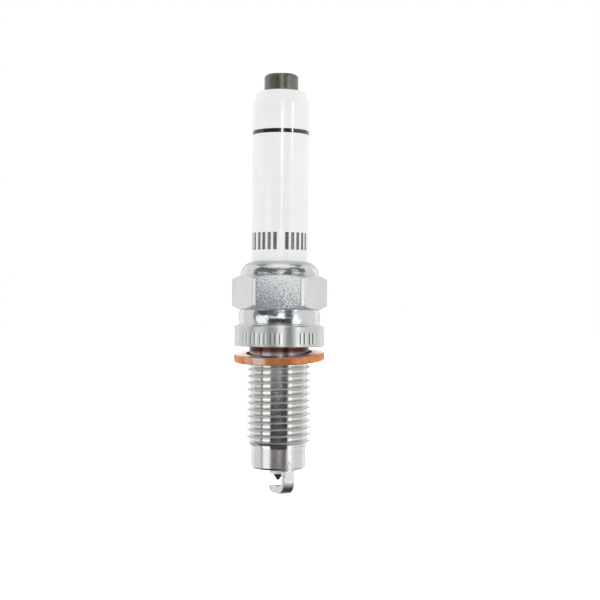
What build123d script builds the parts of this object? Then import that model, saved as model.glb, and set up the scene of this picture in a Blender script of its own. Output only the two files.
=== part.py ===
from build123d import *
import os
from math import cos, radians, sin, tan

# Resistor spark plug, M12 x 1.25 with a 16 mm hexagon, as an assembly of its real pieces.
# Millimetres. +Z runs along the plug's axis towards the terminal. The origin is on the axis,
# in the plane of the flange face that the gasket seats on. One hexagon flat faces -Y.

# ---- driving dimensions: lengths along the axis, measured from the seat plane ----
TERMINAL_TOP = 50.9
INSULATOR_TOP = 47.75
INSULATOR_TAPER_START = 45.4
COLLAR_TOP = 15.75
COLLAR_BEND_START = 13.75
HEX_TOP = 13.3
HEX_BOTTOM = 6.85
FLANGE_TOP = 3.95
NECK_BOTTOM = -2.4
THREAD_BOTTOM = -18.7
SHELL_BOTTOM = -22.8
NOSE_TIP = -23.8
SPARK_END = -25.15
SPARK_GAP = 0.8

# ---- driving dimensions: radii and widths ----
TERMINAL_R = 3.175
INSULATOR_R = 5.25
COLLAR_R = 7.38
COLLAR_BEND_MID = (6.74, 15.03)
HEX_ACROSS_FLATS = 15.7
HEX_CORNER_R = 0.9
HEX_TURN = 1.6
FLANGE_R_TOP = 8.38
FLANGE_R_BOTTOM = 8.48
WAIST_R = 7.5
WAIST_BULGE_R = 7.65
RIDGE_R = 7.75
RIDGE_HEIGHT = 0.3
THREAD_R = 6.0
THREAD_PITCH = 1.25
NECK_R = 5.6
PILOT_R = 5.1

# ---- steel shell: inside ----
SHELL_BORE_R = 6.2
SHELL_BORE_BOTTOM = 3.0
TRUNK_BORE_R = 3.65
TRUNK_BORE_TOP = 0.8
LEDGE_TOP = -9.6
LEDGE_R = 2.95
LEDGE_BOTTOM = -12.2
NOSE_BORE_R = 3.6

# ---- packing under the rolled collar ----
ANNULUS_R_IN = 5.05
WIRE_R = 0.55
WIRE_RING_R = (ANNULUS_R_IN + SHELL_BORE_R) / 2
UPPER_WIRE_Z = 14.3
LOWER_WIRE_Z = 8.6
LIP_HUG_R = (SHELL_BORE_R - ANNULUS_R_IN) / 2
LIP_EDGE_ANGLE = 120

# ---- insulator ----
BODY_R = 6.1
SHOULDER_TOP = 8.3
SHOULDER_BOTTOM = 7.45
BODY_BOTTOM = 3.1
TRUNK_R = 3.55
TRUNK_TOP = 0.9
SEAT_R = 2.75
SEAT_THICKNESS = 0.42
NOSE_R_TOP = 2.6
NOSE_R_TIP = 1.55
STUD_BORE_R = 2.0
STUD_BORE_BOTTOM = -8.0
WIRE_BORE_R = 1.0
WIRE_BORE_TOP = -8.5

# ---- centre electrode, glass seals and resistor ----
ELECTRODE_R = 0.93
HEAD_R = 1.75
HEAD_TOP = -6.2
CORE_R = 0.55
CORE_BOTTOM = -21.0
CONE_R_END = 0.3
CONE_BOTTOM = -24.9
SPARK_TIP_R = 0.2
RESISTOR_BOTTOM = -4.2
RESISTOR_TOP = 3.2
UPPER_GLASS_TOP = 9.6

# ---- terminal stud ----
STUD_R = 1.85
STUD_BOTTOM = 4.6
STUD_GRIP_TOP = 11.0
STUD_GROOVE_R = 1.5
STUD_GROOVE_PITCH = 1.0

# ---- ground electrode, a flat wire bent over the spark tip ----
STRAP_AZIMUTH = 25.0
STRAP_WIDTH = 2.25
STRAP_THICKNESS = 1.22
STRAP_BACK_R = 4.95
STRAP_BEND_R = 1.3
STRAP_REACH = 1.65
STRAP_EDGE_R = 0.15
STRAP_END_BEVEL_LONG = 1.3
STRAP_END_BEVEL_HIGH = 0.55
PAD_R = 0.5
PAD_THICKNESS = 0.3
PAD_PROUD = 0.15
STRAP_CORE_WIDTH = 1.1
STRAP_CORE_THICKNESS = 0.45
STRAP_CORE_STOP = 1.2
FLASH_R = 5.25
FLASH_OUTLINE = (
    (-1.7, -0.2),
    (-1.6, 0.45),
    (-1.2, 0.9),
    (-0.35, 1.35),
    (-0.05, 1.6),
    (0.25, 1.45),
    (0.48, 1.2),
    (0.89, 0.6),
    (1.12, -0.2),
)

# ---- copper gasket, captive on the neck: it hangs tilted and swings up flat on the seat ----
GASKET_R_OUT = 8.5
GASKET_R_IN = 6.25
GASKET_THICKNESS = 1.5
GASKET_EDGE_R = 0.25
GASKET_SEATED_Z = -0.77
GASKET_TILT = 5.4
GASKET_LOW_AZIMUTH = -20.6
GASKET_HINGE_R = 11.4
TAB_R_IN = 5.8
TAB_THICKNESS = 0.6
TAB_SWEEP = 24.0
TAB_COUNT = 4


# ---------------------------------------------------------------- helpers
def at(radius, height):
    """Point of a turned profile, in the plane that holds the axis."""
    return (radius, 0, height)


def turn(edges):
    """Solid of revolution about Z from a closed loop of edges."""
    return revolve(make_face(edges), Axis.Z)


def turned(*corners):
    """Solid of revolution about Z from (radius, height) corners."""
    outline = Polyline(*[at(r, z) for r, z in corners], close=True)
    return turn(outline.edges())


def ring(radius_in, radius_out, bottom, top):
    return turned((radius_in, bottom), (radius_out, bottom), (radius_out, top), (radius_in, top))


def disc(radius, bottom, top):
    return Pos(0, 0, bottom) * Cylinder(radius, top - bottom, align=(Align.CENTER, Align.CENTER, Align.MIN))


def circle_edges(shape, radius, height):
    """The full circular edges of a turned solid at one radius and height."""
    near = 1e-3
    return [
        e
        for e in shape.edges().filter_by(GeomType.CIRCLE)
        if abs(e.radius - radius) < near and abs(e.center().Z - height) < near
    ]


# ---------------------------------------------------------------- metal shell
def shell_outside():
    """Collar, waist, flange, neck and pilot as one turned blank, without hexagon or thread."""
    waist_bottom, waist_top = FLANGE_TOP + RIDGE_HEIGHT, HEX_BOTTOM - 0.15
    pilot_round, seat_edge, flange_edge = 0.35, 0.12, 0.2
    lip_start = at(WIRE_RING_R + LIP_HUG_R * cos(radians(LIP_EDGE_ANGLE)), COLLAR_TOP)
    lip_flat = at(lip_start[0] + 0.25, COLLAR_TOP)
    lip_bend = ThreePointArc(at(COLLAR_R, COLLAR_BEND_START), at(*COLLAR_BEND_MID), lip_flat)
    bulge = ThreePointArc(
        at(WAIST_R, waist_bottom), at(WAIST_BULGE_R, (waist_bottom + waist_top) / 2), at(WAIST_R, waist_top)
    )
    sides = Polyline(
        lip_flat,
        lip_start,
        at(0, COLLAR_TOP),
        at(0, SHELL_BOTTOM),
        at(PILOT_R - pilot_round, SHELL_BOTTOM),
        at(PILOT_R, SHELL_BOTTOM + pilot_round),
        at(PILOT_R, THREAD_BOTTOM),
        at(thread_root_r(), THREAD_BOTTOM),
        at(thread_root_r(), NECK_BOTTOM),
        at(NECK_R, NECK_BOTTOM),
        at(NECK_R, 0),
        at(FLANGE_R_BOTTOM - seat_edge, 0),
        at(FLANGE_R_BOTTOM, seat_edge),
        at(FLANGE_R_TOP, FLANGE_TOP - flange_edge),
        at(FLANGE_R_TOP - flange_edge, FLANGE_TOP),
        at(RIDGE_R, FLANGE_TOP),
        at(RIDGE_R, waist_bottom - 0.1),
        at(RIDGE_R - 0.1, waist_bottom),
        at(WAIST_R, waist_bottom),
    )
    neck_in = Polyline(
        at(WAIST_R, waist_top), at(COLLAR_R, waist_top), at(COLLAR_R, COLLAR_BEND_START)
    )
    return turn([lip_bend, *sides.edges(), bulge, *neck_in.edges()])


def thread_root_r():
    """Root radius of a 60 degree metric thread, its root flat a quarter of the pitch."""
    return THREAD_R - 0.625 * THREAD_PITCH * cos(radians(30))


def hexagon():
    """Hexagonal driving section, its corners rounded and both ends turned to 30 degrees."""
    corner_r = HEX_ACROSS_FLATS / 2 / cos(radians(30))
    section = Plane.XY.offset(HEX_BOTTOM) * RegularPolygon(corner_r, 6, rotation=-HEX_TURN)
    prism = extrude(section, HEX_TOP - HEX_BOTTOM)
    prism = fillet(prism.edges().filter_by(Axis.Z), HEX_CORNER_R)
    turned_in = 0.3
    face_r = HEX_ACROSS_FLATS / 2 - turned_in
    drop = (corner_r - face_r) * tan(radians(30))
    turned_ends = turned(
        (0, HEX_BOTTOM),
        (face_r, HEX_BOTTOM),
        (corner_r, HEX_BOTTOM + drop),
        (corner_r, HEX_TOP - drop),
        (face_r, HEX_TOP),
        (0, HEX_TOP),
    )
    return prism & turned_ends


def thread_ridge():
    """The helical ridge of the external thread, run out on a cone at both ends."""
    root_r, sunk, turns_spare = thread_root_r(), 0.12, THREAD_PITCH
    crest_half = THREAD_PITCH / 16
    root_half = crest_half + (THREAD_R - root_r + sunk) * tan(radians(30))
    foot_r, start_z = root_r - sunk, THREAD_BOTTOM - turns_spare
    path = Helix(
        pitch=THREAD_PITCH,
        height=NECK_BOTTOM - THREAD_BOTTOM + 2 * turns_spare,
        radius=root_r,
        center=(0, 0, start_z),
    )
    section = Polyline(
        at(foot_r, start_z + root_half),
        at(THREAD_R, start_z + crest_half),
        at(THREAD_R, start_z - crest_half),
        at(foot_r, start_z - root_half),
        close=True,
    )
    ridge = sweep(make_face(section.edges()), path=path, is_frenet=True)
    clear_r = THREAD_R + 0.01
    envelope = turned(
        (0, NECK_BOTTOM),
        (NECK_R, NECK_BOTTOM),
        (clear_r, NECK_BOTTOM - (clear_r - NECK_R)),
        (clear_r, THREAD_BOTTOM + (clear_r - PILOT_R)),
        (PILOT_R, THREAD_BOTTOM),
        (0, THREAD_BOTTOM),
    )
    return ridge & envelope


def shell_inside():
    """The stepped bore that takes the insulator and its packings, closed over the upper wire ring."""
    lip = (
        WIRE_RING_R + LIP_HUG_R * cos(radians(LIP_EDGE_ANGLE)),
        UPPER_WIRE_Z + LIP_HUG_R * sin(radians(LIP_EDGE_ANGLE)),
    )
    hug_mid = at(
        WIRE_RING_R + LIP_HUG_R * cos(radians(LIP_EDGE_ANGLE / 2)),
        UPPER_WIRE_Z + LIP_HUG_R * sin(radians(LIP_EDGE_ANGLE / 2)),
    )
    past = 1.0
    ledge_drop = TRUNK_BORE_R - LEDGE_R
    hug = ThreePointArc(at(SHELL_BORE_R, UPPER_WIRE_Z), hug_mid, at(*lip))
    rest = Polyline(
        at(*lip),
        at(lip[0], COLLAR_TOP + past),
        at(0, COLLAR_TOP + past),
        at(0, SHELL_BOTTOM - past),
        at(NOSE_BORE_R, SHELL_BOTTOM - past),
        at(NOSE_BORE_R, LEDGE_BOTTOM - (NOSE_BORE_R - LEDGE_R)),
        at(LEDGE_R, LEDGE_BOTTOM),
        at(LEDGE_R, LEDGE_TOP - ledge_drop),
        at(TRUNK_BORE_R, LEDGE_TOP),
        at(TRUNK_BORE_R, TRUNK_BORE_TOP),
        at(SHELL_BORE_R, SHELL_BORE_BOTTOM),
        at(SHELL_BORE_R, UPPER_WIRE_Z),
    )
    return turn([hug, *rest.edges()])


def metal_shell():
    blank = shell_outside() + hexagon()
    bored = blank - shell_inside()
    return bored + thread_ridge()


# ---------------------------------------------------------------- insulator and packings
def seat_line_z(radius, lift=0.0):
    """Height of the shell's 45 degree ledge at a radius, or of a line parallel to it."""
    return LEDGE_TOP - (TRUNK_BORE_R - radius) + lift


def insulator():
    shoulder_r, shoulder_round, taper_round = 4.45, 0.75, 1.5
    nose_round, above_lip, nose_step = 0.3, 0.05, 0.4
    body = turned(
        (STUD_BORE_R, INSULATOR_TOP),
        (shoulder_r, INSULATOR_TOP),
        (INSULATOR_R, INSULATOR_TAPER_START),
        (INSULATOR_R, COLLAR_TOP + above_lip),
        (ANNULUS_R_IN, COLLAR_TOP + above_lip),
        (ANNULUS_R_IN, SHOULDER_TOP),
        (BODY_R, SHOULDER_BOTTOM),
        (BODY_R, BODY_BOTTOM),
        (TRUNK_R, TRUNK_TOP),
        (TRUNK_R, seat_line_z(TRUNK_R, SEAT_THICKNESS)),
        (SEAT_R, seat_line_z(SEAT_R, SEAT_THICKNESS)),
        (NOSE_R_TOP, seat_line_z(SEAT_R, SEAT_THICKNESS) - nose_step),
        (NOSE_R_TIP, NOSE_TIP),
        (WIRE_BORE_R, NOSE_TIP),
        (WIRE_BORE_R, WIRE_BORE_TOP),
        (STUD_BORE_R, STUD_BORE_BOTTOM),
    )
    body = fillet(circle_edges(body, shoulder_r, INSULATOR_TOP), shoulder_round)
    body = fillet(circle_edges(body, INSULATOR_R, INSULATOR_TAPER_START), taper_round)
    return fillet(circle_edges(body, NOSE_R_TIP, NOSE_TIP), nose_round)


def seat_packing():
    """Conical steel washer between the insulator's step and the shell's ledge."""
    outer_r, inner_r = TRUNK_R + 0.05, LEDGE_R + 0.05
    return turned(
        (outer_r, seat_line_z(outer_r)),
        (outer_r, seat_line_z(TRUNK_R, SEAT_THICKNESS)),
        (TRUNK_R, seat_line_z(TRUNK_R, SEAT_THICKNESS)),
        (inner_r, seat_line_z(inner_r, SEAT_THICKNESS)),
        (inner_r, seat_line_z(inner_r)),
    )


def wire_ring(height):
    return Pos(0, 0, height) * Torus(WIRE_RING_R, WIRE_R)


def talc_ring():
    return ring(ANNULUS_R_IN, SHELL_BORE_R, LOWER_WIRE_Z + WIRE_R, UPPER_WIRE_Z - WIRE_R)


# ---------------------------------------------------------------- conductor chain
def electrode_core():
    point = 0.6
    return turned((0, HEAD_TOP), (CORE_R, HEAD_TOP), (CORE_R, CORE_BOTTOM + point), (0, CORE_BOTTOM))


def centre_electrode():
    slope = (WIRE_BORE_TOP - STUD_BORE_BOTTOM) / (STUD_BORE_R - WIRE_BORE_R)
    clear, chamfer_r = 0.03, 0.25

    def under_head(radius):
        return STUD_BORE_BOTTOM + slope * (STUD_BORE_R - radius) + clear

    sheath = turned(
        (0, HEAD_TOP),
        (HEAD_R - chamfer_r, HEAD_TOP),
        (HEAD_R, HEAD_TOP - chamfer_r),
        (HEAD_R, under_head(HEAD_R)),
        (ELECTRODE_R, under_head(ELECTRODE_R)),
        (ELECTRODE_R, NOSE_TIP - 0.15),
        (CONE_R_END, CONE_BOTTOM),
        (0, CONE_BOTTOM),
    )
    return sheath - electrode_core()


def spark_tip():
    """Fine noble-metal wire end, welded to the cone of the centre electrode."""
    return disc(SPARK_TIP_R, SPARK_END, CONE_BOTTOM)


def lower_glass_seal():
    fill = turned(
        (0, RESISTOR_BOTTOM),
        (STUD_BORE_R, RESISTOR_BOTTOM),
        (STUD_BORE_R, STUD_BORE_BOTTOM),
        (HEAD_R, STUD_BORE_BOTTOM - 0.1),
        (0, STUD_BORE_BOTTOM - 0.1),
    )
    head_room = disc(HEAD_R, STUD_BORE_BOTTOM - 1, HEAD_TOP)
    return fill - head_room


def resistor_element():
    return disc(STUD_BORE_R, RESISTOR_BOTTOM, RESISTOR_TOP)


def terminal_stud():
    """Head barrel and shank in one piece; rings turned near its end lock it in the glass."""
    edge, end_chamfer = 0.35, 0.4
    blank = turned(
        (0, TERMINAL_TOP),
        (TERMINAL_R - edge, TERMINAL_TOP),
        (TERMINAL_R, TERMINAL_TOP - edge),
        (TERMINAL_R, INSULATOR_TOP),
        (STUD_R, INSULATOR_TOP),
        (STUD_R, STUD_BOTTOM + end_chamfer),
        (STUD_R - end_chamfer, STUD_BOTTOM),
        (0, STUD_BOTTOM),
    )
    groove_half = STUD_GROOVE_PITCH / 4
    height = STUD_BOTTOM + STUD_GROOVE_PITCH
    while height < STUD_GRIP_TOP:
        blank -= turned(
            (STUD_GROOVE_R, height - groove_half / 2),
            (STUD_R + 0.1, height - groove_half),
            (STUD_R + 0.1, height + groove_half),
            (STUD_GROOVE_R, height + groove_half / 2),
        )
        height += STUD_GROOVE_PITCH
    centre_dimple = Pos(0, 0, TERMINAL_TOP) * Cone(0.05, 0.6, 0.5, align=(Align.CENTER, Align.CENTER, Align.MAX))
    return blank - centre_dimple


def upper_glass_seal(stud):
    return disc(STUD_BORE_R, RESISTOR_TOP, UPPER_GLASS_TOP) - stud


# ---------------------------------------------------------------- ground electrode
def strap_top_z():
    """Height of the face that looks at the spark tip, below the gap by the pad's standing height."""
    return SPARK_END - SPARK_GAP - PAD_PROUD


def bent_wire(width, thickness, end_x):
    """Flat wire with one right-angle bend about the strap's mid line, drawn on the +X side of y = 0."""
    mid_r = STRAP_BACK_R - STRAP_THICKNESS / 2
    mid_z = strap_top_z() - STRAP_THICKNESS / 2
    mid_bend = STRAP_BEND_R + STRAP_THICKNESS / 2
    centre_x, centre_z = mid_r - mid_bend, mid_z + mid_bend
    out_bend, in_bend = mid_bend + thickness / 2, mid_bend - thickness / 2
    slant = cos(radians(45))
    outer = ThreePointArc(
        at(centre_x + out_bend, centre_z),
        at(centre_x + out_bend * slant, centre_z - out_bend * slant),
        at(centre_x, centre_z - out_bend),
    )
    inner = ThreePointArc(
        at(centre_x + in_bend, centre_z),
        at(centre_x + in_bend * slant, centre_z - in_bend * slant),
        at(centre_x, centre_z - in_bend),
    )
    leg = Polyline(
        at(centre_x, centre_z - out_bend),
        at(end_x, centre_z - out_bend),
        at(end_x, centre_z - in_bend),
        at(centre_x, centre_z - in_bend),
    )
    post = Polyline(
        at(centre_x + in_bend, centre_z),
        at(centre_x + in_bend, SHELL_BOTTOM),
        at(centre_x + out_bend, SHELL_BOTTOM),
        at(centre_x + out_bend, centre_z),
    )
    side = make_face([outer, *leg.edges(), inner, *post.edges()])
    return extrude(side, width / 2, both=True)


def turn_to_azimuth(shape):
    """Carries a shape from +X to the strap's place, counted from -Y towards +X."""
    return Rot(0, 0, STRAP_AZIMUTH - 90) * shape


def ground_pad():
    top = SPARK_END - SPARK_GAP
    return disc(PAD_R, top - PAD_THICKNESS, top)


def ground_electrode_core():
    return turn_to_azimuth(bent_wire(STRAP_CORE_WIDTH, STRAP_CORE_THICKNESS, STRAP_CORE_STOP))


def weld_flash():
    """Metal squeezed out by the butt weld, spread up the outside of the pilot."""
    tallest, root_depth, root_drop = 2.0, 0.3, 0.15
    corners = [(0, across, SHELL_BOTTOM + up) for across, up in FLASH_OUTLINE]
    outline = Polyline(*corners, close=True)
    patch = extrude(make_face(outline.edges()), FLASH_R + 1, dir=(1, 0, 0))
    skin = ring(PILOT_R, FLASH_R, SHELL_BOTTOM, SHELL_BOTTOM + tallest)
    root = ring(STRAP_BACK_R - root_depth, FLASH_R, SHELL_BOTTOM - root_drop, SHELL_BOTTOM)
    return patch & (skin + root)


def ground_electrode():
    wire = bent_wire(STRAP_WIDTH, STRAP_THICKNESS, -STRAP_REACH)
    near = 1e-3
    long_edges = [
        e
        for e in wire.edges()
        if abs(abs(e.center().Y) - STRAP_WIDTH / 2) < near
        and abs(e.center().Z - SHELL_BOTTOM) > near
        and abs(e.center().X + STRAP_REACH) > near
    ]
    wire = fillet(long_edges, STRAP_EDGE_R)
    under = strap_top_z() - STRAP_THICKNESS
    bevel = Polyline(
        at(-STRAP_REACH - 1, under - 1),
        at(-STRAP_REACH + STRAP_END_BEVEL_LONG, under),
        at(-STRAP_REACH, under + STRAP_END_BEVEL_HIGH),
        at(-STRAP_REACH - 1, under + STRAP_END_BEVEL_HIGH),
        close=True,
    )
    wire -= extrude(make_face(bevel.edges()), STRAP_WIDTH, both=True)
    body = turn_to_azimuth(wire + weld_flash())
    return body - ground_electrode_core() - ground_pad()


# ---------------------------------------------------------------- gasket
def hang(shape):
    """Turns a shape from its seated place down to where the gasket hangs, about the hinge line."""
    low = radians(GASKET_LOW_AZIMUTH)
    point = (-GASKET_HINGE_R * sin(low), GASKET_HINGE_R * cos(low), GASKET_SEATED_Z)
    hinge = Axis(point, (-cos(low), -sin(low), 0))
    return shape.rotate(hinge, -GASKET_TILT)


def gasket():
    """Solid copper washer; staked tabs at its hole keep it from passing the thread."""
    half, tab_half, overlap_r = GASKET_THICKNESS / 2, TAB_THICKNESS / 2, GASKET_R_IN + 0.3
    washer = ring(GASKET_R_IN, GASKET_R_OUT, -half, half)
    washer = fillet(circle_edges(washer, GASKET_R_OUT, half), GASKET_EDGE_R)
    washer = fillet(circle_edges(washer, GASKET_R_OUT, -half), GASKET_EDGE_R)
    tab_face = make_face(
        Polyline(
            at(TAB_R_IN, -tab_half),
            at(overlap_r, -tab_half),
            at(overlap_r, tab_half),
            at(TAB_R_IN, tab_half),
            close=True,
        ).edges()
    )
    for number in range(TAB_COUNT):
        tab = revolve(tab_face, Axis.Z, TAB_SWEEP)
        washer += Rot(0, 0, number * 360 / TAB_COUNT + 45 - TAB_SWEEP / 2) * tab
    return hang(Pos(0, 0, GASKET_SEATED_Z) * washer)


# ---------------------------------------------------------------- write the nodes
def main():
    stud = terminal_stud()
    nodes = {
        "metal_shell": metal_shell(),
        "insulator": insulator(),
        "seat_packing": seat_packing(),
        "lower_packing_ring": wire_ring(LOWER_WIRE_Z),
        "talc_ring": talc_ring(),
        "upper_packing_ring": wire_ring(UPPER_WIRE_Z),
        "terminal_stud": stud,
        "upper_glass_seal": upper_glass_seal(stud),
        "resistor_element": resistor_element(),
        "lower_glass_seal": lower_glass_seal(),
        "centre_electrode": centre_electrode(),
        "centre_electrode_core": electrode_core(),
        "spark_tip": spark_tip(),
        "ground_electrode": ground_electrode(),
        "ground_electrode_core": ground_electrode_core(),
        "ground_pad": ground_pad(),
        "gasket": gasket(),
    }
    os.makedirs("parts", exist_ok=True)
    for name, shape in nodes.items():
        export_step(shape, f"parts/{name}.step")


main()
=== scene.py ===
# %% [markdown]
# # A long-reach spark plug
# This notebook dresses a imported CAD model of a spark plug. The CAD already holds every
# solid in its place, so the work here is light, finishes and the small printed and
# stamped details that a CAD model leaves out.
# Everything is in metres, with the seat plane at z = 0 and the terminal pointing up.

# %% Load the fixed frame
import math

import bmesh
import bpy
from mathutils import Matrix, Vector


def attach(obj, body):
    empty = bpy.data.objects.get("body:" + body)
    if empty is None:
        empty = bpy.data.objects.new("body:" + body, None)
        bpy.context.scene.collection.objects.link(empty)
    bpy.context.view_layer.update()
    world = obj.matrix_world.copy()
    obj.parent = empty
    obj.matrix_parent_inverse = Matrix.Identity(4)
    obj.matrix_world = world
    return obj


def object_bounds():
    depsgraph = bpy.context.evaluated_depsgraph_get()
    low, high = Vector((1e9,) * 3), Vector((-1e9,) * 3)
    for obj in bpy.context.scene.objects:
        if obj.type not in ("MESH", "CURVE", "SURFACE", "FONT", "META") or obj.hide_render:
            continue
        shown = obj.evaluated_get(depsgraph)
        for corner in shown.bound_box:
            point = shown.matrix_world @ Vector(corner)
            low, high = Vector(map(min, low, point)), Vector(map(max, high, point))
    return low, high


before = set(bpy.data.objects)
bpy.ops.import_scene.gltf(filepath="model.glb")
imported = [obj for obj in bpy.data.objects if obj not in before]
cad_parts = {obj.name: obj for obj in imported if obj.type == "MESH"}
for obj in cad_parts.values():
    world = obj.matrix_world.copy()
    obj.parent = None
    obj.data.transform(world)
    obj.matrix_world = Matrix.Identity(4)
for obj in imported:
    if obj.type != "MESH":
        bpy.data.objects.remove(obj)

MM = 0.001
cad_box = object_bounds()
scene = bpy.context.scene
print("CAD nodes:", len(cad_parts), "lowest and highest corner:", cad_box)

# %% [markdown]
# ## The camera
# A long lens far away keeps the plug's sides parallel. The camera looks level along +Y
# with a half-degree roll, and a small lens shift places the plug a little left of the
# middle. Shifting the lens is better than turning the camera, because a turned camera
# would make the upright edges lean together.

# %% Camera
LENS_MM = 80.82
FILM_WIDTH_MM = 36.0
CAMERA_AWAY = 253.0 * MM
CAMERA_HIGH = 5.72 * MM
CAMERA_ROLL = math.radians(-0.5)

camera_data = bpy.data.cameras.new("camera")
camera_data.lens = LENS_MM
camera_data.sensor_width = FILM_WIDTH_MM
camera_data.shift_x = 0.0344
camera_data.shift_y = 0.0267
camera_data.clip_start = 10.0 * MM
camera = bpy.data.objects.new("camera", camera_data)
camera.location = (0.0, -CAMERA_AWAY, CAMERA_HIGH)
camera.rotation_euler = (math.radians(90.0), CAMERA_ROLL, 0.0)
scene.collection.objects.link(camera)
scene.camera = camera
scene.view_settings.view_transform = "Standard"
print("camera lens", camera_data.lens, "mm at", tuple(camera.location))

# %% [markdown]
# ## Small tools for node trees
# Every finish below is a tree of shader nodes. Two short helpers keep the trees easy to
# read: `add` makes a node with its options and inputs, and `calc` is one step of
# arithmetic. `both`, `between` and the two `blend` helpers mask and mix what those give.

# %% Helpers for nodes
def add(tree, kind, inputs=None, **options):
    """A new node of that kind, with its options and its unlinked inputs set."""
    node = tree.nodes.new(kind)
    for option, value in options.items():
        setattr(node, option, value)
    for socket, value in (inputs or {}).items():
        if isinstance(value, bpy.types.NodeSocket):
            tree.links.new(value, node.inputs[socket])
        else:
            node.inputs[socket].default_value = value
    return node


def calc(tree, operation, first, second=0.0):
    """One step of arithmetic on two sockets or numbers."""
    inputs = {0: first, 1: second}
    return add(tree, "ShaderNodeMath", inputs, operation=operation).outputs[0]


def both(tree, first, second):
    """Where two masks overlap; a number in place of one mask makes the other fainter."""
    return calc(tree, "MULTIPLY", first, second)


def between(tree, value, low, high, soft):
    """1 where value lies between low and high, 0 outside, with soft edges."""
    rise = add(tree, "ShaderNodeMapRange", {0: value, 1: low - soft, 2: low + soft},
               interpolation_type="SMOOTHSTEP").outputs[0]
    fall = add(tree, "ShaderNodeMapRange",
               {0: value, 1: high - soft, 2: high + soft, 3: 1.0, 4: 0.0},
               interpolation_type="SMOOTHSTEP").outputs[0]
    return both(tree, rise, fall)


def blend_value(tree, share, low, high):
    """low where share is 0 and high where it is 1; each may be a number or a socket."""
    inputs = {0: share, 2: low, 3: high}
    return add(tree, "ShaderNodeMix", inputs, data_type="FLOAT").outputs[0]


def blend_colour(tree, share, low, high):
    """The same for two colours."""
    inputs = {0: share, 6: low, 7: high}
    return add(tree, "ShaderNodeMix", inputs, data_type="RGBA").outputs[2]


# %% [markdown]
# ## The studio
# Polished metal has almost no colour of its own: what you see is the room. So the room is
# laid out for the metal, with a soft box low on the left, a taller one on the right, a lit
# strip of wall in front, and dark flags between them that give the metal its contrast.
# Area lights would do, but here the whole room is drawn on the world as bands of
# brightness by compass direction, which renders without noise and puts the edge of each
# box exactly where it is wanted.
# Azimuth 0 is the camera's side, positive to the right; height is the angle above level.

# %% Directions in the room
world = bpy.data.worlds.new("studio")
scene.world = world
world.use_nodes = True
room = world.node_tree
room.nodes.clear()
direction = add(room, "ShaderNodeTexCoord").outputs["Generated"]
toward = add(room, "ShaderNodeSeparateXYZ", {0: direction}).outputs
camera_side = calc(room, "MULTIPLY", toward["Y"], -1.0)
azimuth = calc(room, "DEGREES", calc(room, "ARCTAN2", toward["X"], camera_side))
height = calc(room, "DEGREES", calc(room, "ARCSINE", toward["Z"]))
turned_away = calc(room, "ABSOLUTE", azimuth)
print("nodes that give a direction:", len(room.nodes))

# %% [markdown]
# The bare walls come first. They are brighter behind the plug, with a dimmer gap on each
# side, and higher up they all have the same level.

# %% Bare walls
WALL = 0.80
OPEN = 400.0   # past any angle, so a band that ends here has no edge on that side


def paint_band(under, angle, low, high, soft, level):
    """The room under it, set to one level where an angle lies between low and high."""
    return blend_value(room, between(room, angle, low, high, soft), under, level)


brightness = paint_band(WALL, turned_away, 125.0, OPEN, 10.0, 1.05)         # back walls
brightness = paint_band(brightness, turned_away, 150.0, 158.0, 2.0, 0.50)   # gaps in them
brightness = paint_band(brightness, height, 26.0, OPEN, 6.0, 0.85)          # upper walls
print("wall level", WALL)

# %% [markdown]
# Each row below is one box, strip, lamp or dark flag. A later row is painted over the
# earlier ones, so a lamp can stand in a window and a window in a wall.

# %% Soft boxes, strips and flags
panels = (
    # azimuth        height         level  soft sideways and upright
    ((-78.0, -68.0), (-50.0, 28.0), 0.28, 2.0, 2.0),     # gap beside the left box
    ((-68.0, -34.0), (5.6, 27.0), 0.10, 1.5, 1.2),       # dark above the left box
    ((-68.0, -34.0), (-50.0, 5.6), 1.22, 1.5, 1.2),      # left soft box, low
    ((37.0, 68.0), (-50.0, 24.0), 0.85, 3.0, 3.0),       # right soft box
    ((40.0, 68.0), (-50.0, -8.0), 1.30, 3.0, 4.0),       # its brighter foot
    ((43.0, 54.0), (-50.0, 4.6), 1.50, 2.5, 1.2),        # its bright middle
    ((-34.0, 37.0), (-60.0, -1.5), 0.055, 1.2, 1.2),     # dark floor in front
    ((-36.0, -8.0), (-1.1, 2.9), 1.30, 1.0, 0.35),       # front wall, left part
    ((-8.0, 14.0), (-1.1, 2.9), 2.30, 1.0, 0.35),        # its bright middle
    ((14.0, 37.0), (-1.1, 1.2), 0.55, 2.0, 0.7),         # its shaded right end
    ((14.0, 37.0), (1.2, 13.0), 0.12, 2.0, 0.7),         # dark flags over the wall
    ((-36.0, -8.0), (2.9, 13.0), 0.10, 1.0, 0.35),
    ((-8.0, 14.0), (2.9, 13.0), 0.12, 1.5, 0.35),
    ((-88.0, 88.0), (25.0, 56.0), 0.18, 4.0, 4.0),       # dark ceiling edge
    ((-36.0, 38.0), (13.0, 26.0), 0.13, 3.0, 3.0),       # dark under it, in front
    ((-7.0, 18.0), (15.0, 44.0), 0.70, 3.0, 5.0),        # skylight, seen in the collar
    ((45.0, 61.0), (22.0, 46.0), 0.55, 3.0, 5.0),        # and one to the right
    ((-5.0, 17.0), (6.4, 15.0), 1.30, 2.5, 1.0),         # window over the camera
    ((1.8, 8.2), (2.8, 8.3), 2.60, 1.5, 0.8),            # strip in it
    ((3.4, 7.6), (7.0, 8.1), 30.0, 0.6, 0.4),            # lamp in the strip
    ((47.2, 50.6), (7.45, 9.7), 16.0, 0.6, 0.4),         # second lamp, to the right
)
for azimuth_range, height_range, level, soft_sideways, soft_upright in panels:
    across = between(room, azimuth, *azimuth_range, soft_sideways)
    upright = between(room, height, *height_range, soft_upright)
    brightness = blend_value(room, both(room, across, upright), brightness, level)
print("studio panels:", len(panels))

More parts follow.
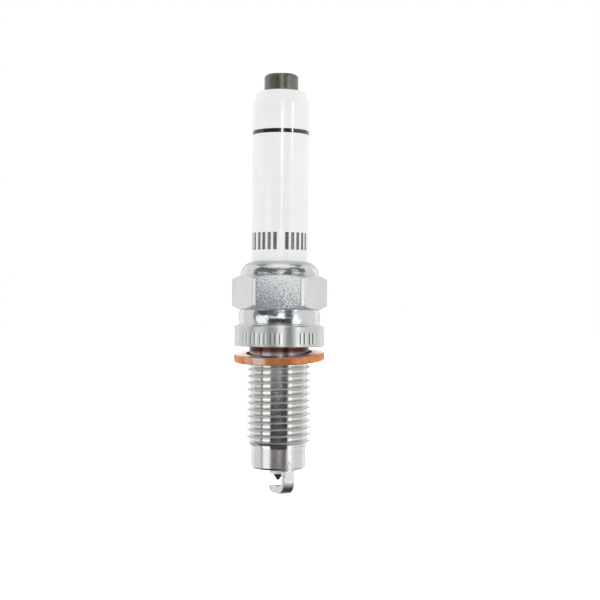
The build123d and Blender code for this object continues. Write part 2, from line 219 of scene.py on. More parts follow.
# %% [markdown]
# A flag high at the back puts a dark edge on whatever is seen from above. The ceiling is
# bright, and the room darkens in two steps towards the floor.

# %% Flag high at the back, ceiling and what lies below
CEILING_FROM = 73.0
LOW_FROM = -24.0
FLOOR_FROM = -50.0

at_back = both(room, between(room, turned_away, 100.0, OPEN, 10.0), 0.93)
back_flag = both(room, at_back, between(room, height, 53.0, 72.0, 2.0))
brightness = blend_value(room, back_flag, brightness, 0.03)
brightness = paint_band(brightness, height, CEILING_FROM, OPEN, 4.0, 1.10)
brightness = paint_band(brightness, height, -OPEN, LOW_FROM, 8.0, 0.42)
brightness = paint_band(brightness, height, -OPEN, FLOOR_FROM, 3.0, 0.05)
print("ceiling above", CEILING_FROM, "degrees, dim below", LOW_FROM, "and", FLOOR_FROM)

# %% [markdown]
# The darker parts of the room are tinted: bluish green above level and faintly violet
# below, which is what plated steel picks up. Camera rays see plain white. Diffuse rays
# see a much evener room, as they would with fill cards all round, and for that the world
# isn't sampled as a lamp.

# %% Colour of the room
WHITE = (1.0, 1.0, 1.0, 1.0)
VIOLET_SHADE = (1.0, 0.94, 0.97, 1.0)
GREEN_BLUE_SHADE = (0.66, 0.97, 1.10, 1.0)
DARK_LEVEL = 0.05
LIT_LEVEL = 0.45
FILL_LEVEL = 1.06
FILL_SHARE = 0.75

lit = add(room, "ShaderNodeMapRange", {0: brightness, 1: DARK_LEVEL, 2: LIT_LEVEL}).outputs[0]
above = add(room, "ShaderNodeMapRange", {0: height, 1: -3.0, 2: 1.0}).outputs[0]
shade = blend_colour(room, above, VIOLET_SHADE, GREEN_BLUE_SHADE)
air = blend_colour(room, lit, shade, WHITE)
ray = add(room, "ShaderNodeLightPath").outputs
even = blend_value(room, FILL_SHARE, brightness, FILL_LEVEL)
brightness = blend_value(room, ray["Is Diffuse Ray"], brightness, even)
brightness = blend_value(room, ray["Is Camera Ray"], brightness, 1.0)
plain = calc(room, "MAXIMUM", ray["Is Camera Ray"], ray["Is Diffuse Ray"])
air = blend_colour(room, plain, air, WHITE)
background = add(room, "ShaderNodeBackground", {"Color": air, "Strength": brightness})
add(room, "ShaderNodeOutputWorld", {"Surface": background.outputs[0]})
world.cycles.sampling_method = "NONE"
print("nodes that draw the room:", len(room.nodes))

# %% [markdown]
# ## The floor
# A plain white floor under the plug. It takes no part in the reflections, which come
# from the room alone, so it can be as bright as the backdrop. Seen from underneath it is
# clear, so that the firing end can be looked at from below.

# %% Floor
FLOOR_HALF = 3.0
FLOOR_GAP = 0.1 * MM
PAPER_WHITE = (0.9, 0.9, 0.9, 1.0)

floor_z = cad_box[0].z - FLOOR_GAP
corners = [(side_x * FLOOR_HALF, side_y * FLOOR_HALF, floor_z)
           for side_x, side_y in ((-1, -1), (1, -1), (1, 1), (-1, 1))]
floor_mesh = bpy.data.meshes.new("floor")
floor_mesh.from_pydata(corners, [], [(0, 1, 2, 3)])
floor = bpy.data.objects.new("floor", floor_mesh)
scene.collection.objects.link(floor)
floor_paint = bpy.data.materials.new("floor_white")
floor_paint.use_nodes = True
paint_tree = floor_paint.node_tree
floor_shader = paint_tree.nodes["Principled BSDF"]
floor_shader.inputs["Base Color"].default_value = PAPER_WHITE
floor_shader.inputs["Roughness"].default_value = 0.9
floor_shader.inputs["Emission Color"].default_value = WHITE
floor_shader.inputs["Emission Strength"].default_value = 1.0
from_below = add(paint_tree, "ShaderNodeNewGeometry").outputs["Backfacing"]
clear = add(paint_tree, "ShaderNodeBsdfTransparent").outputs[0]
one_sided = add(paint_tree, "ShaderNodeMixShader",
                {0: from_below, 1: floor_shader.outputs[0], 2: clear}).outputs[0]
paint_tree.links.new(one_sided, paint_tree.nodes["Material Output"].inputs["Surface"])
floor_mesh.materials.append(floor_paint)
floor.visible_glossy = False
floor.visible_diffuse = False
floor.visible_shadow = False
print("floor at z =", round(floor_z / MM, 2), "mm")

# %% [markdown]
# ## Finishes
# A finish starts from the Principled shader. Its colour, roughness and bump come from
# noise read in Object coordinates, which stay put when the plug moves. `grain` gives a
# noise at a real size in millimetres, so a 0.2 mm grain on the real part is 0.2 here.
# `spread` stretches a middling noise over the whole range from one value to another.

# %% Helpers for finishes
def new_finish(name):
    """A node material with its Principled shader and Object coordinates at hand."""
    material = bpy.data.materials.new(name)
    material.use_nodes = True
    tree = material.node_tree
    where = add(tree, "ShaderNodeTexCoord").outputs["Object"]
    return material, tree, tree.nodes["Principled BSDF"], where


def times(tree, vector, factors):
    """A vector with each of its three parts multiplied by its own factor."""
    inputs = {0: vector, 1: factors}
    return add(tree, "ShaderNodeVectorMath", inputs, operation="MULTIPLY").outputs[0]


def grain(tree, where, size_mm, stretch=(1.0, 1.0, 1.0), detail=3.0, rough=0.5):
    """Noise whose lumps are about size_mm across; a stretch below 1 draws them out."""
    return add(tree, "ShaderNodeTexNoise", {
        "Vector": times(tree, where, stretch), "Scale": 1.0 / (size_mm * MM),
        "Detail": detail, "Roughness": rough}).outputs["Fac"]


def spread(tree, value, low, high, out_low=0.0, out_high=1.0):
    """Stretches a value from low..high to out_low..out_high."""
    inputs = {0: value, 1: low, 2: high, 3: out_low, 4: out_high}
    return add(tree, "ShaderNodeMapRange", inputs).outputs[0]


def bump(tree, depth, height_mm, after=None):
    """A normal that follows depth, a socket from 0 to 1, over height_mm."""
    inputs = {"Height": depth, "Distance": height_mm * MM, "Strength": 1.0}
    if after is not None:
        inputs["Normal"] = after
    return add(tree, "ShaderNodeBump", inputs).outputs["Normal"]


def dress(node, material):
    """Gives a CAD node that finish in every material slot."""
    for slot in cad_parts[node].material_slots:
        slot.material = material
    print(node, "now has", material.name)


# %% [markdown]
# ## Glazed alumina
# The insulator is sintered white alumina under a clear glaze. The glaze makes it glossy,
# very slightly rippled, and the body is a cool white that is never quite even, with a few
# faint specks. The lower end inside the shell isn't glazed, so it is matt.

# %% Insulator finish
GLAZE_FROM = 13.0 * MM
GLAZE_FULL = 14.0 * MM
COOL_WHITE = (0.905, 0.93, 0.925, 1.0)
PALE_WHITE = (0.95, 0.955, 0.95, 1.0)
SPECK = (0.70, 0.68, 0.64, 1.0)
BARE_ROUGH = 0.55

alumina, tree, shader, where = new_finish("glazed_alumina")
up = add(tree, "ShaderNodeSeparateXYZ", {0: where}).outputs["Z"]
glazed = spread(tree, up, GLAZE_FROM, GLAZE_FULL)
cloud = spread(tree, grain(tree, where, 6.0, detail=2.0), 0.3, 0.7)
body = blend_colour(tree, cloud, COOL_WHITE, PALE_WHITE)
speck = spread(tree, grain(tree, where, 0.35, detail=1.0), 0.74, 0.80, 0.0, 0.35)
body = blend_colour(tree, speck, body, SPECK)
tree.links.new(body, shader.inputs["Base Color"])
ripple = grain(tree, where, 1.6, detail=1.0)
fired = spread(tree, grain(tree, where, 3.0), 0.3, 0.7, 0.05, 0.11)
tree.links.new(blend_value(tree, glazed, BARE_ROUGH, fired), shader.inputs["Roughness"])
tree.links.new(bump(tree, ripple, 0.002), shader.inputs["Normal"])
shader.inputs["IOR"].default_value = 1.55
dress("insulator", alumina)

# %% [markdown]
# ## Plated steel shell
# The shell is one turned and cold-formed piece, yet each zone wears its own surface:
# the rolled collar is smooth, the forged hexagon is mottled, the swaged waist keeps the
# blue tint of the heat that shrank it, the flange shows turning lines and the thread is
# rolled bright. One material holds them all. First come the masks: most zones are picked
# out by height, and the slim ones under the flange also by distance from the axis.

# %% Shell zones
SHELL_ZONES = {   # lowest and highest z, and how soft the edges are, in millimetres
    "collar top": (15.1, 17.0, 0.20),
    "collar": (13.2, 16.0, 0.15),
    "crease_shade": (13.30, 13.72, 0.06),
    "hexagon": (6.9, 13.2, 0.15),
    "waist": (4.0, 6.8, 0.15),
    "flange": (0.05, 3.9, 0.15),
    "under flange": (-0.85, 0.0, 0.12),
    "neck": (-2.4, -0.1, 0.15),
    "bright neck": (-2.4, -1.15, 0.20),
    "thread": (-18.9, -2.3, 0.05),
    "pilot": (-23.0, -18.7, 0.15),
}
NECK_R = (6.2 * MM, 5.8 * MM)

plating, tree, shader, where = new_finish("plated_steel")
place = add(tree, "ShaderNodeSeparateXYZ", {0: where}).outputs
off_axis = add(tree, "ShaderNodeVectorMath", {0: times(tree, where, (1.0, 1.0, 0.0))},
               operation="LENGTH").outputs["Value"]
zone = {name: between(tree, place["Z"], low * MM, high * MM, soft * MM)
        for name, (low, high, soft) in SHELL_ZONES.items()}
slim = spread(tree, off_axis, *NECK_R)
for name in ("under flange", "neck", "bright neck"):
    zone[name] = both(tree, slim, zone[name])
print("shell zones:", ", ".join(zone))

# %% [markdown]
# Smaller marks sit inside the zones: the hexagon's front and back flats are coarse and
# mottled, its corner bevels get a near-white painted highlight beside a thin painted dark
# line, a painted shade darkens the crease under the collar, the waist is tinted only where it
# faces out, the pilot has a blush of heat, and the crests of the thread are rougher than its
# flanks and painted darker as thin lines of shade.

# %% Marks inside the zones
COARSE_FLAT_Y = (7.0 * MM, 7.4 * MM)
# The hexagon's corner bevels get a near-white painted highlight, with a thin painted dark line
# of shade beside it.
CORNER_HIGHLIGHT_R = (8.86 * MM, 8.88 * MM)
CORNER_SHADE_LINE_R = (8.79 * MM, 8.85 * MM)
CORNER_SHADE_LINE_SOFT = 0.02 * MM
CREST_R = (5.89 * MM, 5.95 * MM)


def strip(low_mm, high_mm, soft_mm):
    """Mask of the shell between two places from left to right."""
    return between(tree, place["X"], low_mm * MM, high_mm * MM, soft_mm * MM)


from_middle = calc(tree, "ABSOLUTE", place["Y"])
coarse = both(tree, zone["hexagon"], spread(tree, from_middle, *COARSE_FLAT_Y))
# Painted highlight on the corner bevels, and the painted dark line beside it.
corner_highlight = both(tree, zone["hexagon"], spread(tree, off_axis, *CORNER_HIGHLIGHT_R))
corner_shade_line = both(tree, zone["hexagon"],
                   between(tree, off_axis, *CORNER_SHADE_LINE_R, CORNER_SHADE_LINE_SOFT))
heated = both(tree, zone["waist"], strip(-3.6, 4.4, 0.9))
# Painted shade: a darker colour in the crease under the collar, over its front and back.
crease_shade = both(tree, zone["crease_shade"], strip(-4.7, 4.6, 0.4))
blush = both(tree, zone["pilot"], strip(-0.9, 0.0, 0.6))
crest = both(tree, zone["thread"], spread(tree, off_axis, *CREST_R))
print("crests duller from", round(CREST_R[0] / MM, 2), "mm off the axis")

# %% [markdown]
# The colours go on in coats, one mask and one colour at a time, as a painter would mask and
# spray, and a later coat covers an earlier one. The mottle of the coarse flats is a fine
# pebbled noise, and its paling towards the upper right is painted light.

# %% Shell colours
cloud = spread(tree, grain(tree, where, 3.5), 0.3, 0.7)
zinc = blend_colour(tree, cloud, (0.72, 0.72, 0.72, 1.0), (0.80, 0.80, 0.79, 1.0))
hexagon_zinc = blend_colour(tree, cloud, (0.74, 0.74, 0.73, 1.0), (0.80, 0.80, 0.79, 1.0))
heat = spread(tree, grain(tree, where, 1.8), 0.35, 0.65)
heat_tint = blend_colour(tree, heat, (0.70, 0.70, 0.80, 1.0), (0.72, 0.77, 0.77, 1.0))
# Painted light: the mottle grows paler towards the upper right, as if lit from there.
painted_light_gradient = calc(tree, "ADD", spread(tree, place["X"], -5.0 * MM, 5.0 * MM, -0.22, 0.22),
             spread(tree, place["Z"], 7.0 * MM, 13.0 * MM, -0.20, 0.24))
pebble = calc(tree, "ADD", grain(tree, where, 0.26, detail=3.0, rough=0.7),
              calc(tree, "MULTIPLY", painted_light_gradient, 0.40))
mottle = blend_colour(tree, spread(tree, pebble, 0.42, 0.57), (0.33, 0.38, 0.42, 1.0), WHITE)
coats = (
    (zone["hexagon"], hexagon_zinc),
    (both(tree, heated, 0.8), heat_tint),
    (both(tree, zone["flange"], 0.8), (0.66, 0.69, 0.66, 1.0)),
    # The neck coats are painted shade with a copper-brown painted reflection between the
    # flange and the gasket, less dark on the lower neck.
    (zone["neck"], (0.17, 0.125, 0.14, 1.0)),
    (zone["bright neck"], (0.38, 0.33, 0.33, 1.0)),
    # painted shade in the crease under the collar
    (both(tree, crease_shade, 0.75), (0.20, 0.25, 0.27, 1.0)),
    # painted shadow right under the flange
    (zone["under flange"], (0.075, 0.038, 0.024, 1.0)),
    (blush, (0.76, 0.62, 0.63, 1.0)),
    (coarse, mottle),
    # painted dark line of shade beside the corner bevels
    (both(tree, corner_shade_line, 0.7), (0.30, 0.33, 0.35, 1.0)),
    # near-white painted highlight on the corner bevels
    (corner_highlight, (0.97, 0.97, 0.96, 1.0)),
    (zone["thread"], (0.79, 0.785, 0.77, 1.0)),
    # the darker crest colour is painted shade, thin dark lines on the thread; the crests'
    # higher roughness is their real finish
    (both(tree, crest, 0.5), (0.56, 0.56, 0.59, 1.0)),
)
colour = zinc
for mask, paint in coats:
    colour = blend_colour(tree, mask, colour, paint)
tree.links.new(colour, shader.inputs["Base Color"])
print("coats of colour on the shell:", len(coats))

# %% [markdown]
# Roughness is laid on the same way, and then the relief: lathe lines round the flange, a
# forged grain on the hexagon, and shallow dents where the steel was rolled or swaged. The
# coarse flats are only partly metallic, because dull plating scatters light as paint does.

# %% Shell roughness and relief
smear = spread(tree, grain(tree, where, 0.9, detail=4.0), 0.3, 0.7)
rough = blend_value(tree, smear, 0.10, 0.18)
for mask, roughness in (
        (zone["hexagon"], 0.29), (coarse, 0.33), (zone["flange"], 0.28), (zone["pilot"], 0.23),
        (zone["thread"], blend_value(tree, smear, 0.07, 0.12)), (crest, 0.46),
        (zone["collar top"], 0.46)):
    rough = blend_value(tree, mask, rough, roughness)
tree.links.new(rough, shader.inputs["Roughness"])
tree.links.new(blend_value(tree, coarse, 1.0, 0.55), shader.inputs["Metallic"])

turned = grain(tree, where, 0.12, stretch=(0.02, 0.02, 1.0), detail=2.0)
forged = grain(tree, where, 0.22, detail=3.0, rough=0.6)
dented = grain(tree, where, 1.1, detail=1.0)
rolled = calc(tree, "ADD", zone["waist"], zone["collar"])
normal = bump(tree, both(tree, turned, zone["flange"]), 0.012)
normal = bump(tree, both(tree, forged, zone["hexagon"]), 0.06, after=normal)
normal = bump(tree, both(tree, dented, rolled), 0.055, after=normal)
tree.links.new(normal, shader.inputs["Normal"])
dress("metal_shell", plating)

# %% [markdown]
# ## Terminal
# The top terminal is bare nickel-coloured steel that has gone dark and a little green in
# handling. It is satin: soft highlights, with fine lines round it from the lathe.

# %% Terminal finish
OILED_DARK = (0.185, 0.18, 0.15, 1.0)
OILED_LIGHT = (0.25, 0.245, 0.21, 1.0)

terminal_steel, tree, shader, where = new_finish("dark_steel")
cloud = spread(tree, grain(tree, where, 1.2), 0.3, 0.7)
tree.links.new(blend_colour(tree, cloud, OILED_DARK, OILED_LIGHT), shader.inputs["Base Color"])
shader.inputs["Metallic"].default_value = 1.0
satin = spread(tree, grain(tree, where, 0.4), 0.3, 0.7, 0.29, 0.37)
tree.links.new(satin, shader.inputs["Roughness"])
lathe = grain(tree, where, 0.10, stretch=(0.02, 0.02, 1.0))
tree.links.new(bump(tree, lathe, 0.006), shader.inputs["Normal"])
dress("terminal_stud", terminal_steel)

# %% [markdown]
# ## Copper gasket
# A flat copper ring. Handling leaves its edge orange-brown, with soft dents, and a paler patch
# at the front left is a painted highlight. Its two pressed faces are smoother, and their paler
# colour is a painted reflection.

# %% Gasket finish
COPPER_BROWN = (0.78, 0.27, 0.085, 1.0)
COPPER_ORANGE = (0.88, 0.40, 0.18, 1.0)
# colour of the painted highlight on the edge
COPPER_HIGHLIGHT = (1.0, 0.86, 0.76, 1.0)
# colour of the painted reflection on the pressed faces
COPPER_PAINTED_REFLECTION = (1.0, 0.94, 0.88, 1.0)
PRESSED_ROUGH = 0.20

copper_ring, tree, shader, where = new_finish("gasket_copper")
facing = add(tree, "ShaderNodeNewGeometry").outputs["Normal"]
upward = add(tree, "ShaderNodeSeparateXYZ", {0: facing}).outputs["Z"]
pressed_face = spread(tree, calc(tree, "ABSOLUTE", upward), 0.6, 0.9)
cloud = spread(tree, grain(tree, where, 1.6, detail=3.0), 0.38, 0.66)
colour = blend_colour(tree, cloud, COPPER_BROWN, COPPER_ORANGE)
place = add(tree, "ShaderNodeSeparateXYZ", {0: where}).outputs
# Painted highlight: a paler patch on the front left of the edge.
left_part = between(tree, place["X"], -6.0 * MM, -2.6 * MM, 0.7 * MM)
front_half = spread(tree, place["Y"], 0.0, -4.0 * MM)
patchy = spread(tree, grain(tree, where, 2.4, detail=2.0), 0.30, 0.55)
highlight_patch = both(tree, patchy, both(tree, left_part, front_half))
colour = blend_colour(tree, both(tree, highlight_patch, 0.8), colour, COPPER_HIGHLIGHT)
# Painted reflection: the flat top and bottom faces are painted paler.
colour = blend_colour(tree, both(tree, pressed_face, 0.75), colour, COPPER_PAINTED_REFLECTION)
tree.links.new(colour, shader.inputs["Base Color"])
shader.inputs["Metallic"].default_value = 1.0
edge_rough = spread(tree, grain(tree, where, 0.5), 0.3, 0.7, 0.42, 0.55)
tree.links.new(blend_value(tree, pressed_face, edge_rough, PRESSED_ROUGH),
               shader.inputs["Roughness"])
edge_only = calc(tree, "SUBTRACT", 1.0, pressed_face)
dents = bump(tree, both(tree, grain(tree, where, 1.3, detail=1.0), edge_only), 0.10)
tree.links.new(bump(tree, grain(tree, where, 0.15), 0.006, after=dents),
               shader.inputs["Normal"])
dress("gasket", copper_ring)

# %% [markdown]
# ## Electrodes
# The ground strap is a bright nickel alloy wire, sheared and bent, with a fine uneven
# grain. The centre electrode is the same family of alloy but darkened by heat, and both
# firing tips are a hard precious metal with a fine satin. They differ only in colour,
# roughness and grain, so one function makes them all.

# %% Electrode finishes
def electrode_finish(name, dark, light, roughness, grain_mm, bump_mm):
    """A metal whose colour wanders between dark and light, with a fine bump."""
    material, tree, shader, where = new_finish(name)
    cloud = spread(tree, grain(tree, where, 0.8), 0.3, 0.7)
    tree.links.new(blend_colour(tree, cloud, dark, light), shader.inputs["Base Color"])
    shader.inputs["Metallic"].default_value = 1.0
    uneven = spread(tree, grain(tree, where, 0.3), 0.3, 0.7, *roughness)
    tree.links.new(uneven, shader.inputs["Roughness"])
    tree.links.new(bump(tree, grain(tree, where, grain_mm), bump_mm), shader.inputs["Normal"])
    return material


strap_alloy = electrode_finish("nickel_alloy", (0.58, 0.60, 0.60, 1), (0.72, 0.73, 0.73, 1),
                               (0.22, 0.34), 0.30, 0.014)
centre_alloy = electrode_finish("nickel_alloy_dark", (0.10, 0.10, 0.10, 1),
                                (0.20, 0.19, 0.18, 1), (0.30, 0.45), 0.15, 0.008)
tip_metal = electrode_finish("iridium", (0.62, 0.62, 0.62, 1), (0.75, 0.75, 0.76, 1),
                             (0.15, 0.25), 0.10, 0.003)
copper_core = electrode_finish("copper", (0.80, 0.40, 0.22, 1), (0.93, 0.58, 0.40, 1),
                               (0.25, 0.40), 0.20, 0.006)
packing_steel = electrode_finish("packing_steel", (0.45, 0.45, 0.46, 1), (0.58, 0.58, 0.58, 1),
                                 (0.28, 0.42), 0.20, 0.006)
dress("ground_electrode", strap_alloy)
dress("centre_electrode", centre_alloy)
for node in ("ground_pad", "spark_tip"):
    dress(node, tip_metal)
for node in ("ground_electrode_core", "centre_electrode_core"):
    dress(node, copper_core)
for node in ("seat_packing", "lower_packing_ring", "upper_packing_ring"):
    dress(node, packing_steel)

# %% [markdown]
# ## Fillings inside the insulator
# Out of sight, but real pieces all the same: fired glass seals grey with metal powder,
# the dark ceramic resistor between them, and the pressed talc ring under the collar.

# %% Filling finishes
def filling_finish(name, dark, light, roughness, grain_mm, bump_mm):
    """A non-metal whose colour wanders between dark and light."""
    material = electrode_finish(name, dark, light, roughness, grain_mm, bump_mm)
    material.node_tree.nodes["Principled BSDF"].inputs["Metallic"].default_value = 0.0
    return material


seal_glass = filling_finish("seal_glass", (0.10, 0.11, 0.11, 1), (0.20, 0.21, 0.20, 1),
                            (0.15, 0.35), 0.3, 0.01)
resistor_mix = filling_finish("resistor_ceramic", (0.06, 0.05, 0.05, 1),
                              (0.12, 0.10, 0.09, 1), (0.5, 0.7), 0.2, 0.01)
talc_powder = filling_finish("talc", (0.72, 0.71, 0.66, 1), (0.84, 0.83, 0.79, 1),
                             (0.8, 0.95), 0.1, 0.02)
for node in ("lower_glass_seal", "upper_glass_seal"):
    dress(node, seal_glass)
dress("resistor_element", resistor_mix)
dress("talc_ring", talc_powder)

# %% [markdown]
# ## Printed ring and printed bars
# A black ring and a row of dark marks are printed on the glaze and fired. The marks here
# are plain upright bars. Bars round a cylinder are one curved bar repeated by a rule, so
# Geometry Nodes make them: an arc gives the bar its curve, a rectangle its section, and
# points on the axis turn one copy after another to its place. Sizes are named inputs, so
# the same tree serves the print on the ceramic and the strokes stamped in the flange.

# %% A tree for bars round a cylinder
ARC_POINTS = 9


def start_tree(name, inputs):
    """A Geometry Nodes tree with named inputs, its input node and its output node."""
    tree = bpy.data.node_groups.new(name, "GeometryNodeTree")
    for label, kind, value in inputs:
        socket = tree.interface.new_socket(name=label, in_out="INPUT",
                                           socket_type="NodeSocket" + kind)
        if value is not None:
            socket.default_value = value
    tree.interface.new_socket(name="Geometry", in_out="OUTPUT",
                              socket_type="NodeSocketGeometry")
    return tree, add(tree, "NodeGroupInput").outputs, add(tree, "NodeGroupOutput")


bars_tree, given, result = start_tree("bars_round_a_cylinder", (
    ("Radius", "Float", 5.0 * MM), ("Width", "Float", 1.0 * MM), ("Tall", "Float", 3.0 * MM),
    ("Thick", "Float", 0.1 * MM), ("Count", "Int", 5), ("First Angle", "Float", 0.0),
    ("Step Angle", "Float", 0.2), ("Centre Height", "Float", 0.0), ("Lean", "Float", 0.0),
    ("Uneven", "Float", 0.0), ("Seed", "Int", 1), ("Material", "Material", None)))
diameter = calc(bars_tree, "MULTIPLY", given["Radius"], 2.0)
half_sweep = calc(bars_tree, "DIVIDE", given["Width"], diameter)
arc = add(bars_tree, "GeometryNodeCurveArc", {
    "Resolution": ARC_POINTS, "Radius": given["Radius"],
    "Start Angle": calc(bars_tree, "SUBTRACT", -math.pi / 2, half_sweep),
    "Sweep Angle": calc(bars_tree, "MULTIPLY", half_sweep, 2.0)}, mode="RADIUS")
section = add(bars_tree, "GeometryNodeCurvePrimitiveQuadrilateral", {
    "Width": given["Thick"], "Height": given["Tall"]}, mode="RECTANGLE")
bar = add(bars_tree, "GeometryNodeCurveToMesh", {
    "Curve": arc.outputs["Curve"], "Profile Curve": section.outputs["Curve"],
    "Fill Caps": True})

# %% [markdown]
# The second half of the tree sets the copies out. Each point's index gives its angle, and
# a random value with a fixed seed makes some copies a little shorter than others.

# %% Copies round the axis
points = add(bars_tree, "GeometryNodePoints", {"Count": given["Count"]})
index = add(bars_tree, "GeometryNodeInputIndex").outputs[0]
turn = calc(bars_tree, "ADD", given["First Angle"],
            calc(bars_tree, "MULTIPLY", index, given["Step Angle"]))
angles = add(bars_tree, "ShaderNodeCombineXYZ", {"X": given["Lean"], "Z": turn})
rotation = add(bars_tree, "FunctionNodeEulerToRotation", {0: angles.outputs[0]})
shortest = calc(bars_tree, "SUBTRACT", 1.0, given["Uneven"])
length = add(bars_tree, "FunctionNodeRandomValue", {
    "Min": shortest, "Max": 1.0, "ID": index, "Seed": given["Seed"]}, data_type="FLOAT")
scale = add(bars_tree, "ShaderNodeCombineXYZ", {
    "X": 1.0, "Y": 1.0, "Z": length.outputs["Value"]})
copies = add(bars_tree, "GeometryNodeInstanceOnPoints", {
    "Points": points.outputs[0], "Instance": bar.outputs[0],
    "Rotation": rotation.outputs[0], "Scale": scale.outputs[0]})
lift = add(bars_tree, "ShaderNodeCombineXYZ", {"Z": given["Centre Height"]})
raised = add(bars_tree, "GeometryNodeTransform", {
    "Geometry": copies.outputs[0], "Translation": lift.outputs[0]})
solid = add(bars_tree, "GeometryNodeRealizeInstances", {0: raised.outputs[0]})
painted = add(bars_tree, "GeometryNodeSetMaterial", {
    "Geometry": solid.outputs[0], "Material": given["Material"]})
bars_tree.links.new(painted.outputs[0], result.inputs[0])
print("nodes in the tree for bars:", len(bars_tree.nodes))

# %% [markdown]
# A tree only describes a shape. To keep it as a piece, the tree runs once on an empty
# host, the result is copied out as a plain mesh, and the host is thrown away. Several
# such meshes are then joined, points in the same place are merged, and every face is
# turned outwards.

# %% From a tree to a plain mesh
MERGE_WITHIN = 0.0001 * MM
SHARP_FROM = math.radians(30.0)


def grow(tree, name, **values):
    """The plain mesh that a tree gives for those named inputs."""
    host = bpy.data.objects.new(name + "_host", bpy.data.meshes.new(name + "_host"))
    scene.collection.objects.link(host)
    modifier = host.modifiers.new("nodes", "NODES")
    modifier.node_group = tree
    for socket in tree.interface.items_tree:
        label = socket.name.replace(" ", "_").lower()
        if socket.in_out == "INPUT" and label in values:
            modifier[socket.identifier] = values[label]
    graph = bpy.context.evaluated_depsgraph_get()
    mesh = bpy.data.meshes.new_from_object(host.evaluated_get(graph), depsgraph=graph)
    bpy.data.objects.remove(host)
    return mesh


def one_piece(name, meshes, material, body):
    """Joins plain meshes into one piece that rides on a body."""
    joined = bmesh.new()
    for mesh in meshes:
        joined.from_mesh(mesh)
    bmesh.ops.remove_doubles(joined, verts=joined.verts, dist=MERGE_WITHIN)
    bmesh.ops.recalc_face_normals(joined, faces=joined.faces)
    whole = bpy.data.meshes.new(name)
    joined.to_mesh(whole)
    joined.free()
    whole.materials.append(material)
    whole.shade_smooth()
    whole.set_sharp_from_angle(angle=SHARP_FROM)
    piece = bpy.data.objects.new(name, whole)
    scene.collection.objects.link(piece)
    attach(piece, body)
    print(name, "has", len(whole.polygons), "faces")


# %% [markdown]
# The ink is a ceramic colour fired under the glaze, so it is as glossy as the white round
# it. Where it was printed thin, the grey shows patches.

# %% Ink
def fired_ink(name, dark, light):
    """Ceramic ink under glaze: patchy where it was printed thin."""
    material, tree, shader, where = new_finish(name)
    thin = spread(tree, grain(tree, where, 0.45, detail=4.0), 0.35, 0.70)
    tree.links.new(blend_colour(tree, thin, dark, light), shader.inputs["Base Color"])
    gloss = spread(tree, grain(tree, where, 0.8), 0.3, 0.7, 0.03, 0.06)
    tree.links.new(gloss, shader.inputs["Roughness"])
    shader.inputs["IOR"].default_value = 1.8
    return material


ring_ink = fired_ink("fired_ink_black", (0.008, 0.006, 0.006, 1), (0.030, 0.023, 0.021, 1))
mark_ink = fired_ink("fired_ink_grey", (0.095, 0.093, 0.090, 1), (0.190, 0.187, 0.180, 1))

# %% [markdown]
# Thin geometry keeps the edges of a print crisp from any distance. The bars stand in groups
# with gaps, some on the far side as well.

# %% The printed bars
INSULATOR_R = 5.25 * MM
PRINT_THICK = 0.03 * MM
BAR_WIDTH = 0.66 * MM
BAR_TALL = 3.2 * MM
BAR_CENTRE_Z = 19.6 * MM
BAR_STEP = math.radians(12.3)

# first angle and count
bar_groups = ((-74.0, 2), (-47.0, 4), (14.0, 3), (51.5, 2), (150.0, 6))
bars = [grow(bars_tree, "bar", radius=INSULATOR_R, width=BAR_WIDTH, tall=BAR_TALL,
             thick=PRINT_THICK, count=count, first_angle=math.radians(first),
             step_angle=BAR_STEP, centre_height=BAR_CENTRE_Z, material=mark_ink)
        for first, count in bar_groups]
one_piece("printed_bars", bars, mark_ink, "plug")

# %% [markdown]
# The ring could be turned as one band. The same tree also makes it, from wide bars laid
# end to end right round, so it needs no tree of its own.

# %% The printed ring
RING_PARTS = 24
RING_TALL = 0.74 * MM
RING_CENTRE_Z = 39.95 * MM

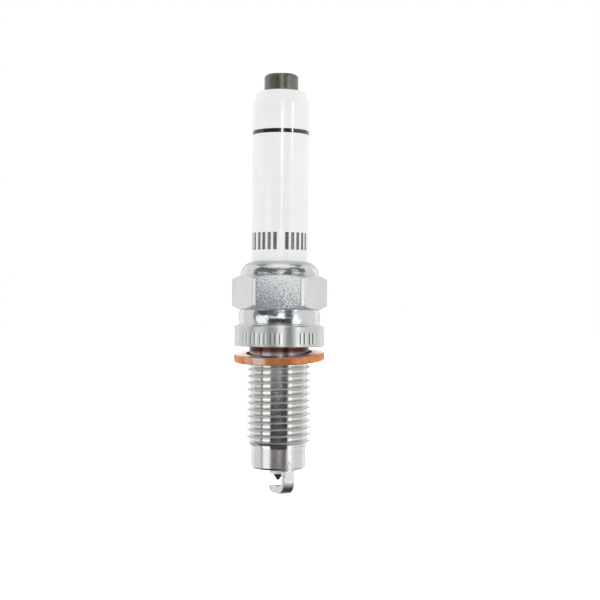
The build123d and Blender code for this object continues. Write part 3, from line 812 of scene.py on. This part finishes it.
ring_part = 2 * math.pi / RING_PARTS
ring_mesh = grow(bars_tree, "ring", radius=INSULATOR_R, width=ring_part * INSULATOR_R,
                 tall=RING_TALL, thick=PRINT_THICK, count=RING_PARTS, step_angle=ring_part,
                 centre_height=RING_CENTRE_Z, material=ring_ink)
one_piece("printed_ring", [ring_mesh], ring_ink, "plug")

# %% [markdown]
# ## Strokes on the flange
# The maker's stamping on the flange is replaced by plain upright strokes of about the same
# size, a little uneven in length as stamped strokes are. Each stroke stands slightly proud and
# is painted near white as a painted highlight, and a darker, flatter strip that shows along
# its left side is a painted shadow.

# %% The stamped strokes
FLANGE_R = 8.475 * MM
FLANGE_LEAN = -0.0253
STROKE_CENTRE_Z = 1.58 * MM
STROKE_STEP = math.radians(5.8)
STROKE_UNEVEN = 0.14
FIRST_SEED = 4

# The strokes' near-white colour is a painted highlight on their raised faces.
stroke_steel = electrode_finish("stamped_steel", (0.92, 0.92, 0.92, 1), (1.0, 1.0, 1.0, 1),
                                (0.28, 0.30), 0.20, 0.002)
# Painted shadow: dark strips along the left side of each stroke.
stroke_shadow_steel = electrode_finish("stamped_hollow", (0.17, 0.19, 0.20, 1),
                                (0.25, 0.27, 0.28, 1), (0.55, 0.62), 0.20, 0.002)
lean_lift = -FLANGE_R * FLANGE_LEAN

# first angle and count
stroke_groups = ((-49.0, 2), (-36.0, 2), (-23.0, 2), (-9.0, 3), (29.0, 2), (43.0, 2),
                 (165.0, 5))


def stamped_row(width_mm, tall_mm, thick_mm, shift_deg, material):
    """All strokes of one width, following the flange's slight taper."""
    return [grow(bars_tree, "stroke", radius=FLANGE_R, width=width_mm * MM, tall=tall_mm * MM,
                 thick=thick_mm * MM, count=count, first_angle=math.radians(first + shift_deg),
                 step_angle=STROKE_STEP, centre_height=STROKE_CENTRE_Z - lean_lift,
                 lean=FLANGE_LEAN, uneven=STROKE_UNEVEN, seed=FIRST_SEED + number,
                 material=material)
            for number, (first, count) in enumerate(stroke_groups)]


# the painted shadows beside the strokes, then the strokes
one_piece("stamped_hollows", stamped_row(0.40, 2.24, 0.03, -1.1, stroke_shadow_steel), stroke_shadow_steel,
          "plug")
one_piece("stamped_strokes", stamped_row(0.34, 2.20, 0.10, 0.0, stroke_steel), stroke_steel,
          "plug")
